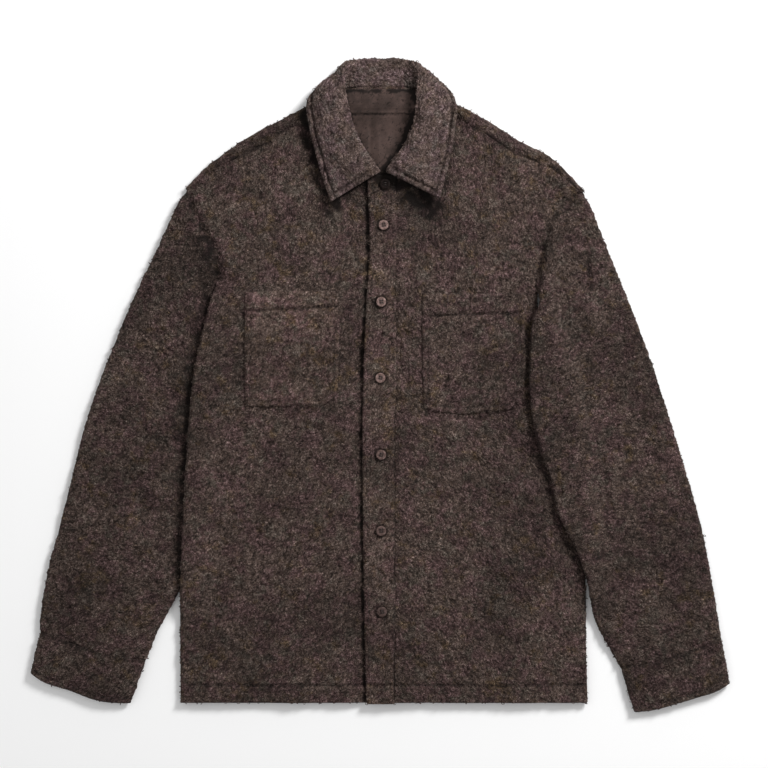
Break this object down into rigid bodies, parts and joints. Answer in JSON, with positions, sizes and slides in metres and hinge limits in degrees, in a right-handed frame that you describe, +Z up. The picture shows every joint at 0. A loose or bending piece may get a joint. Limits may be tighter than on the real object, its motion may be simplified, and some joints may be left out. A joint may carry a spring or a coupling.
{
  "type": "shacket laid flat",
  "caption": "Thick wool shirt jacket laid flat on its back, buttoned, with a shirt collar, patch chest pockets and plain cuffs.",
  "frame": {"origin": "on the surface the garment lies on, under the middle of its whole box", "axes": "+X across the garment towards the wearer's left sleeve, +Y towards the collar, +Z up from the surface"},
  "size_m": [0.875, 0.8164, 0.028],
  "materials": {
    "wool": "matte boucle wool",
    "wool_collar": "matte boucle wool",
    "lining": "smooth twill with a soft sheen",
    "button": "satin"
  },
  "bodies": {
    "root": {"back": "wool", "front_right": "wool", "front_left": "wool", "placket": "wool", "sleeve_right": "wool", "sleeve_left": "wool", "cuff_right": "wool", "cuff_left": "wool", "pocket_right": "wool", "pocket_left": "wool", "collar": "wool_collar", "neck_facing": "lining", "back_lining": "lining", "button_1": "button", "button_2": "button", "button_3": "button", "button_4": "button", "button_5": "button", "button_6": "button", "button_7": "button"}
  },
  "joints": []
}
